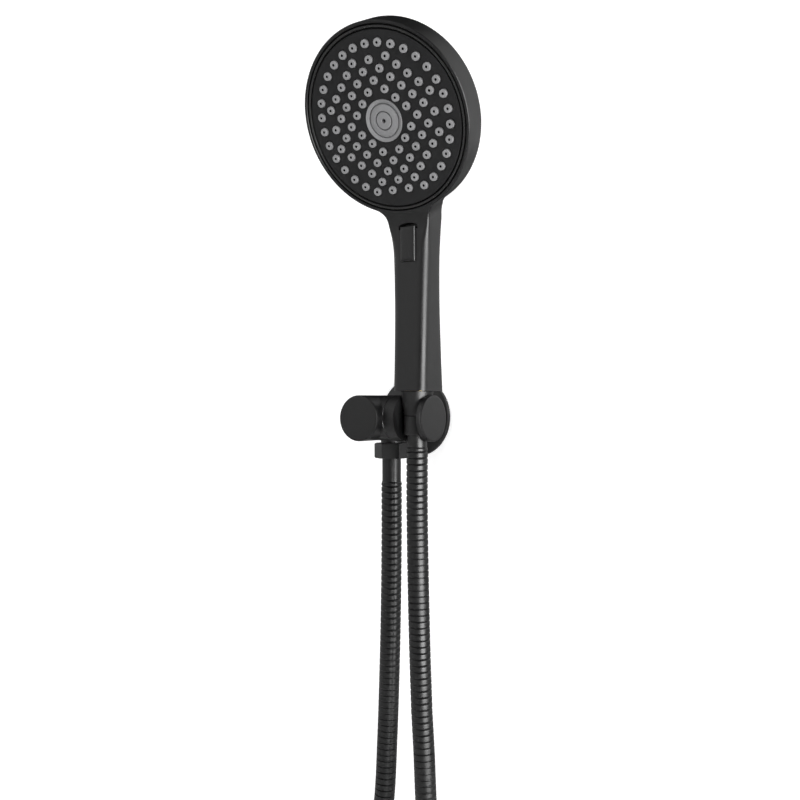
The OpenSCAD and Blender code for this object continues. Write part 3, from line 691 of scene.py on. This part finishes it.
def makeThumbButton():
    print("thumb button")
    b = thumbButton
    middleZ = (buttonLow[2] / mm + buttonHigh[2] / mm) / 2
    # crowned front that slants back towards its lower end
    verts, faces, across, up = [], [], 13, 19
    for j in range(up):
        for i in range(across):
            x = (i / (across - 1) - 0.5) * 2
            z = (j / (up - 1) - 0.5) * 2
            sx, sz = math.sin(x * math.pi / 2), math.sin(z * math.pi / 2)
            drop = max(b["sideRound"] * abs(sx) ** 16, b["endRound"] * abs(sz) ** 20)
            drop += b["crown"] * sx * sx + b["slant"] * (1 - z) / 2
            verts.append((seatX + sx * (b["width"] / 2), buttonFront + drop,
                          middleZ + sz * b["height"] / 2))
    for j in range(up - 1):
        for i in range(across - 1):
            a = j * across + i
            faces.append((a, a + 1, a + across + 1, a + across))
    rim = list(range(across))
    rim += [j * across + across - 1 for j in range(1, up)]
    rim += [(up - 1) * across + i for i in range(across - 2, -1, -1)]
    rim += [j * across for j in range(up - 2, 0, -1)]
    base = len(verts)
    for k in rim:
        verts.append((verts[k][0], buttonFront + b["depth"], verts[k][2]))
    for k in range(len(rim)):
        n = (k + 1) % len(rim)
        faces.append((rim[k], base + k, base + n, rim[n]))
    faces.append(tuple(base + k for k in range(len(rim))))
    piece = makePiece("thumbButton", verts, faces, 50)
    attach(piece, "button")
    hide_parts("thumb_button")
    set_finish(piece, "button_plastic")


sprayFace = {
    "plateRadius": 53.75, "plateTop": -0.6, "plateThick": 1.6, "floor": -2.2,
    "trim": (54.75, 56.15), "pitch": 8.7, "ringRadius": 46.3, "tip": 2.55, "tipOut": 1.2,
    "hole": 2.95, "jetHole": 0.8, "centre": 13.0, "edge": 0.35, "holeEdge": 0.18,
    "rimSteps": 160, "centreSteps": 96, "holeSteps": 28,
}


def nozzlePlaces():
    # a square grid set on its corner, inside a circle that opens towards the handle
    grid = sprayFace["pitch"] / math.sqrt(2)
    places = []
    for i in range(-4, 5):
        for k in range(-4, 5):
            if max(abs(i), abs(k)) > 1 and abs(i) + abs(k) < 7:
                places.append((grid * (i - k), -grid * (i + k)))
    places += [(-grid, -7 * grid), (grid, -7 * grid)]
    for k in range(2, 31):
        a = math.radians(-90 + 11.25 * k)
        places.append((sprayFace["ringRadius"] * math.cos(a), sprayFace["ringRadius"] * math.sin(a)))
    return places


def makeFaceplate(places):
    print("faceplate")
    f = sprayFace
    points, edges = [], []

    def addLoop(cx, cy, radius, steps):
        first = len(points)
        for k in range(steps):
            a = 2 * math.pi * k / steps
            points.append(Vector((cx + radius * math.cos(a), cy + radius * math.sin(a))))
            edges.append((first + k, first + (k + 1) % steps))
    soft, rim = f["holeEdge"], f["plateRadius"]
    addLoop(0, 0, rim - f["edge"], f["rimSteps"])
    holes = [(0, 0, f["centre"] + 0.12, f["centreSteps"])]
    holes += [(x, y, f["hole"], f["holeSteps"]) for x, y in places]
    for x, y, r, steps in holes:
        addLoop(x, y, r + soft, steps)
    flat, _, cells, _, _, _ = geometry.delaunay_2d_cdt(points, edges, [], 0, 1e-4)
    verts = [(p.x, p.y, f["plateTop"]) for p in flat]
    faces = []
    for cell in cells:
        cx = sum(flat[k].x for k in cell) / 3
        cy = sum(flat[k].y for k in cell) / 3
        if any((cx - x) ** 2 + (cy - y) ** 2 < (r + soft * 0.9) ** 2 for x, y, r, steps in holes):
            continue
        faces.append(tuple(cell))
    # softened edge and wall of each hole and of the rim
    for x, y, r, steps in holes + [(0, 0, rim, f["rimSteps"])]:
        if r == rim:
            rings = [(rim - f["edge"], 0), (rim - 0.1, -0.1), (rim, -f["edge"]), (rim, -f["plateThick"])]
        else:
            rings = [(r + soft, 0), (r + soft * 0.3, -soft * 0.3), (r, -soft), (r, -f["plateThick"])]
        base = len(verts)
        for radius, z in rings:
            for k in range(steps):
                a = 2 * math.pi * k / steps
                verts.append((x + radius * math.cos(a), y + radius * math.sin(a), f["plateTop"] + z))
        for j in range(len(rings) - 1):
            for k in range(steps):
                n = (k + 1) % steps
                faces.append((base + j * steps + k, base + j * steps + n,
                              base + (j + 1) * steps + n, base + (j + 1) * steps + k))
    plate = makePiece("faceplate", [headFrame @ Vector(v) for v in verts], faces, 30)
    weighNormals(plate)
    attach(plate, "handset")
    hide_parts("faceplate")
    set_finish(plate, "faceplate_grey")


def repeatTurned(name, profile, places, steps, sharpAngle):
    # the same turned form at every place on the spray face
    count = len(profile)
    verts, faces = [], []
    for x, y in places:
        base = len(verts)
        for k in range(steps):
            a = 2 * math.pi * k / steps
            for radius, z in profile:
                verts.append(headFrame @ Vector((x + radius * math.cos(a), y + radius * math.sin(a), z)))
        for k in range(steps):
            here, there = base + k * count, base + ((k + 1) % steps) * count
            for n in range(count - 1):
                faces.append((here + n, there + n, there + n + 1, here + n + 1))
    return makePiece(name, verts, faces, sharpAngle)


def makeNozzles(places):
    print("nozzles")
    f = sprayFace
    top = f["plateTop"] + f["tipOut"]
    r, j = f["tip"], f["jetHole"]
    profile = [
        (r + 0.05, f["floor"] - 0.2), (r, f["plateTop"]), (r - 0.04, top - 0.3), (r - 0.13, top - 0.1),
        (r - 0.3, top), (r - 0.45, top), (j + 0.2, top), (j + 0.08, top), (j, top - 0.12)]
    bore = [(j, top - 0.12), (j, top - 2.6), (0, top - 2.6)]
    tips = repeatTurned("nozzleTips", profile, places, 24, 42)
    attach(tips, "handset")
    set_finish(tips, "nozzle_silicone")
    # bore walls and floor take the near-black carrier finish: painted shade that keeps every nozzle hole
    # dark
    bores = repeatTurned("nozzleBores", bore, places, 12, 42)
    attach(bores, "handset")
    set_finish(bores, "carrier_black")
    sheet = lathe("nozzleMat", [
        (6.5, -3.8), (50.2, -3.8), (50.2, -2.25), (6.5, -2.25)], headFrame, 128, closed=True)
    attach(sheet, "handset")
    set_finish(sheet, "nozzle_silicone")
    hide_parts("nozzle_mat")


def makeFaceRings():
    print("face rings")
    f = sprayFace
    low, high = f["trim"]
    trim = lathe("trimRing", [
        (low, f["floor"]), (high, f["floor"]), (high, -0.65), (high - 0.15, -0.4), (high - 0.4, -0.3),
        (low + 0.4, -0.3), (low + 0.15, -0.4), (low, -0.65)], headFrame, 192, closed=True)
    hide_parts("trim_ring")
    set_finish(trim, "trim_black")
    t, c = f["plateTop"], f["centre"]
    ring = lathe("centreRing", [
        (10.75, f["floor"]), (c, f["floor"]), (c, t + 0.3), (c - 0.12, t + 0.5), (c - 0.35, t + 0.6),
        (11.1, t - 0.25), (10.85, t - 0.4), (10.75, t - 0.6)], headFrame, 128, closed=True)
    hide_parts("centre_ring")
    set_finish(ring, "centre_grey")
    jet = lathe("centreJet", [
        (1.25, -6.2), (5.2, -6.2), (5.2, f["floor"]), (10.05, f["floor"]), (10.05, t - 0.55),
        (9.95, t - 0.35), (9.7, t - 0.2), (6.25, t + 0.25), (6.05, t + 0.2), (5.95, t),
        (5.95, t - 1.3), (5.2, t - 1.3), (5.2, t + 0.15), (5.1, t + 0.3), (4.9, t + 0.36),
        (1.75, t + 0.65), (1.5, t + 0.6), (1.4, t + 0.4), (1.4, t - 1.5), (1.25, t - 1.6)],
        headFrame, 128, closed=True)
    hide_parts("centre_jet")
    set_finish(jet, "centre_grey")
    for piece in (trim, ring, jet):
        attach(piece, "handset")


def makeMaterial(name, colour, roughness, spread=0.06, grain=1600, grainDepth=0.02,
                 metallic=0.0, edgeLighten=0.0, shine=0.5, mottle=0.12):
    material = bpy.data.materials.new(name)
    material.use_nodes = True
    tree = material.node_tree
    shader = tree.nodes["Principled BSDF"]
    shader.inputs["Metallic"].default_value = metallic
    shader.inputs["Specular IOR Level"].default_value = shine
    place = tree.nodes.new("ShaderNodeTexCoord")
    fine = tree.nodes.new("ShaderNodeTexNoise")
    fine.inputs["Scale"].default_value = grain
    fine.inputs["Detail"].default_value = 3
    broad = tree.nodes.new("ShaderNodeTexNoise")
    broad.inputs["Scale"].default_value = 45
    broad.inputs["Detail"].default_value = 5
    tree.links.new(place.outputs["Object"], fine.inputs["Vector"])
    tree.links.new(place.outputs["Object"], broad.inputs["Vector"])
    # uneven sheen, as handling leaves it
    rough = tree.nodes.new("ShaderNodeMapRange")
    rough.inputs["From Min"].default_value = 0.3
    rough.inputs["From Max"].default_value = 0.7
    rough.inputs["To Min"].default_value = roughness - spread
    rough.inputs["To Max"].default_value = roughness + spread
    tree.links.new(broad.outputs["Fac"], rough.inputs["Value"])
    tree.links.new(rough.outputs["Result"], shader.inputs["Roughness"])
    # slight change of tone over the surface
    tone = tree.nodes.new("ShaderNodeMix")
    tone.data_type = "RGBA"
    tone.inputs["A"].default_value = (*[c * (1 - mottle) for c in colour], 1)
    tone.inputs["B"].default_value = (*[c * (1 + mottle) for c in colour], 1)
    tree.links.new(broad.outputs["Fac"], tone.inputs["Factor"])
    result = tone.outputs["Result"]
    if edgeLighten > 0:
        # sharp convex edges made a little lighter, picked out by pointiness
        shape = tree.nodes.new("ShaderNodeNewGeometry")
        edge = tree.nodes.new("ShaderNodeMapRange")
        edge.inputs["From Min"].default_value = 0.53
        edge.inputs["From Max"].default_value = 0.62
        edge.inputs["To Max"].default_value = edgeLighten
        tree.links.new(shape.outputs["Pointiness"], edge.inputs["Value"])
        lighterEdges = tree.nodes.new("ShaderNodeMix")
        lighterEdges.data_type = "RGBA"
        lighterEdges.inputs["B"].default_value = (*[min(1, c * 2.4 + 0.03) for c in colour], 1)
        tree.links.new(edge.outputs["Result"], lighterEdges.inputs["Factor"])
        tree.links.new(result, lighterEdges.inputs["A"])
        result = lighterEdges.outputs["Result"]
    tree.links.new(result, shader.inputs["Base Color"])
    bump = tree.nodes.new("ShaderNodeBump")
    bump.inputs["Strength"].default_value = 0.6
    bump.inputs["Distance"].default_value = grainDepth * mm
    tree.links.new(fine.outputs["Fac"], bump.inputs["Height"])
    tree.links.new(bump.outputs["Normal"], shader.inputs["Normal"])
    return material


looks = {
    "black_plastic": dict(colour=(0.005, 0.005, 0.0052), roughness=0.38, edgeLighten=0.25, shine=0.42),
    "button_plastic": dict(colour=(0.0052, 0.0052, 0.0054), roughness=0.36, edgeLighten=0.2, shine=0.42),
    "black_metal": dict(colour=(0.005, 0.005, 0.0052), roughness=0.36, edgeLighten=0.3, grain=2200,
                        grainDepth=0.015, shine=0.42),
    "hose_black": dict(colour=(0.0045, 0.0045, 0.0047), roughness=0.36, edgeLighten=0.1, grain=1200, shine=0.42),
    "tie_rubber": dict(colour=(0.02, 0.02, 0.02), roughness=0.7),
    "faceplate_grey": dict(colour=(0.011, 0.011, 0.0115), roughness=0.5, grain=2600, grainDepth=0.03,
                           shine=0.25),
    # carrier_black is also put on the nozzle bores as painted shade, to keep the holes dark
    "carrier_black": dict(colour=(0.003, 0.003, 0.003), roughness=0.7, shine=0.1),
    "trim_black": dict(colour=(0.012, 0.012, 0.012), roughness=0.3, edgeLighten=0.3),
    "nozzle_silicone": dict(colour=(0.27, 0.27, 0.275), roughness=0.6, shine=0.25, grain=900, mottle=0.05),
    "centre_grey": dict(colour=(0.24, 0.24, 0.245), roughness=0.55, shine=0.25, mottle=0.04),
    "seal_rubber": dict(colour=(0.03, 0.03, 0.03), roughness=0.65),
    "liner_nylon": dict(colour=(0.006, 0.006, 0.006), roughness=0.6, shine=0.2),
    "white_plastic": dict(colour=(0.75, 0.75, 0.72), roughness=0.45, mottle=0.03),
    "valve_blue": dict(colour=(0.1, 0.25, 0.5), roughness=0.4, mottle=0.05),
    "brass_parts": dict(colour=(0.65, 0.5, 0.25), roughness=0.3, metallic=1.0, mottle=0.05),
    "steel_parts": dict(colour=(0.55, 0.55, 0.56), roughness=0.32, metallic=1.0, mottle=0.05),
}


def dressAll():
    print("materials")
    slots = {s["node"]: s["material_slot"] for s in frame["record"]["subparts"]}
    made = {name: makeMaterial(name, **look) for name, look in looks.items()}
    for node, slot in slots.items():
        piece = nodes[node]
        piece.data.materials.clear()
        piece.data.materials.append(made[slot])
    for piece in bpy.data.objects:
        if piece.type == "MESH" and piece.get("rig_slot"):
            piece.data.materials.clear()
            piece.data.materials.append(made[piece["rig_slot"]])


studio = {
    "wallShade": 0.9, "wallGlow": 0.45, "floorShade": 0.55,
    # light from all round, dim towards the camera: [share of the way along worldAxis, strength]
    "worldAxis": (0.831, 0.556, 0.0),
    "worldSteps": [(0.0, 0.94), (0.1, 0.9), (0.38, 0.02), (0.58, 0.02), (0.9, 1.0), (1.0, 1.06)],
    "aim": (0.03, -0.05, 0.05),
    # one box at the right lights the wall and the parts, one just behind it is only for the sheen
    "boxPlace": (0.94, -0.40, -0.06), "boxSize": (0.76, 0.85), "boxPower": 9.0, "sheenPower": 20.0,
    "topPlace": (0.2, -0.12, 1.3), "topSize": (1.0, 0.16), "topPower": 0.8,
    "washPlace": (-0.9, -2.1, 2.2), "washSize": (1.5, 1.5), "washPower": 36.0,
    "extent": 9, "floorGap": 0.004, "wallGap": 0.0006,
}


def paintSheet(name, shade, glow=0.0, oneSided=False):
    paint = bpy.data.materials.new(name)
    paint.use_nodes = True
    tree = paint.node_tree
    shader = tree.nodes["Principled BSDF"]
    shader.inputs["Base Color"].default_value = (shade, shade, shade, 1)
    shader.inputs["Roughness"].default_value = 0.9
    shader.inputs["Specular IOR Level"].default_value = 0.0
    shader.inputs["Emission Color"].default_value = (1, 1, 1, 1)
    shader.inputs["Emission Strength"].default_value = glow
    if oneSided:
        # clear from behind, so that the wall never hides what hangs on it
        side = tree.nodes.new("ShaderNodeNewGeometry")
        clear = tree.nodes.new("ShaderNodeBsdfTransparent")
        mix = tree.nodes.new("ShaderNodeMixShader")
        tree.links.new(side.outputs["Backfacing"], mix.inputs["Fac"])
        tree.links.new(shader.outputs["BSDF"], mix.inputs[1])
        tree.links.new(clear.outputs["BSDF"], mix.inputs[2])
        tree.links.new(mix.outputs["Shader"], tree.nodes["Material Output"].inputs["Surface"])
    return paint


def makeSheet(name, corners, paint, glossy=True):
    mesh = bpy.data.meshes.new(name)
    mesh.from_pydata(corners, [], [(0, 1, 2, 3)])
    sheet = bpy.data.objects.new(name, mesh)
    bpy.context.scene.collection.objects.link(sheet)
    mesh.materials.append(paint)
    sheet.visible_glossy = glossy


def makeLamp(name, place, aim, size, power, glossy=True, diffuse=True):
    data = bpy.data.lights.new(name, "AREA")
    data.shape = "RECTANGLE"
    data.size, data.size_y = size
    data.energy = power
    lamp = bpy.data.objects.new(name, data)
    bpy.context.scene.collection.objects.link(lamp)
    lamp.visible_glossy = glossy
    lamp.visible_diffuse = diffuse
    lamp.location = place
    lamp.rotation_mode = "QUATERNION"
    lamp.rotation_quaternion = (Vector(aim) - Vector(place)).to_track_quat("-Z", "Y")


def makeStudio():
    print("studio")
    s = studio
    low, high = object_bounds()
    ground, back, e = low[2] - s["floorGap"], s["wallGap"], s["extent"]
    makeSheet("studioFloor", [(-e, -e, ground), (e, -e, ground), (e, e, ground), (-e, e, ground)],
              paintSheet("floorPaint", s["floorShade"]))
    makeSheet("studioWall", [(-e, back, ground), (e, back, ground), (e, back, e), (-e, back, e)],
              paintSheet("wallPaint", s["wallShade"], s["wallGlow"], True), False)
    world = bpy.data.worlds.new("studioWorld")
    bpy.context.scene.world = world
    world.use_nodes = True
    tree = world.node_tree
    place = tree.nodes.new("ShaderNodeTexCoord")
    along = tree.nodes.new("ShaderNodeVectorMath")
    along.operation = "DOT_PRODUCT"
    along.inputs[1].default_value = s["worldAxis"]
    spread = tree.nodes.new("ShaderNodeMapRange")
    spread.inputs["From Min"].default_value = -1
    ramp = tree.nodes.new("ShaderNodeValToRGB")
    ramp.color_ramp.interpolation = "EASE"
    while len(ramp.color_ramp.elements) < len(s["worldSteps"]):
        ramp.color_ramp.elements.new(0.5)
    for stop, (at, strength) in zip(ramp.color_ramp.elements, s["worldSteps"]):
        stop.position = at
        stop.color = (strength, strength, strength, 1)
    tree.links.new(place.outputs["Generated"], along.inputs[0])
    tree.links.new(along.outputs["Value"], spread.inputs["Value"])
    tree.links.new(spread.outputs["Result"], ramp.inputs["Fac"])
    tree.links.new(ramp.outputs["Color"], tree.nodes["Background"].inputs["Color"])
    aim = s["aim"]
    makeLamp("boxRight", s["boxPlace"], aim, s["boxSize"], s["boxPower"])
    behind = [v * 1.03 for v in s["boxPlace"]]
    makeLamp("boxSheen", behind, aim, s["boxSize"], s["sheenPower"], diffuse=False)
    makeLamp("topSoft", s["topPlace"], aim, s["topSize"], s["topPower"])
    makeLamp("wallWash", s["washPlace"], (0, 0, 0), s["washSize"], s["washPower"], False)
    bpy.context.scene.view_settings.view_transform = "Standard"


# each spring: [end that stays, end that moves, body it stays on, body that squeezes it]
springs = {
    "button_spring": (1, 0, "handset", "button"),
    "valve_spring": (0, 1, "bracket", "check_valve"),
}


def makeSprings():
    print("springs")
    for node, (stays, moves, still, moving) in springs.items():
        copied = nodes[node].data.copy()
        piece = bpy.data.objects.new(node.replace("_spring", "Spring"), copied)
        bpy.context.scene.collection.objects.link(piece)
        copied.transform(nodes[node].matrix_world)
        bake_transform(piece)
        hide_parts(node)
        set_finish(piece, "steel_parts")


makeBracket()
makeHolder()
makeHoseEnd()
makeHandsetBody()
makeThumbButton()
places = nozzlePlaces()
makeFaceplate(places)
makeNozzles(places)
makeFaceRings()
makeSprings()
dressAll()
makeStudio()
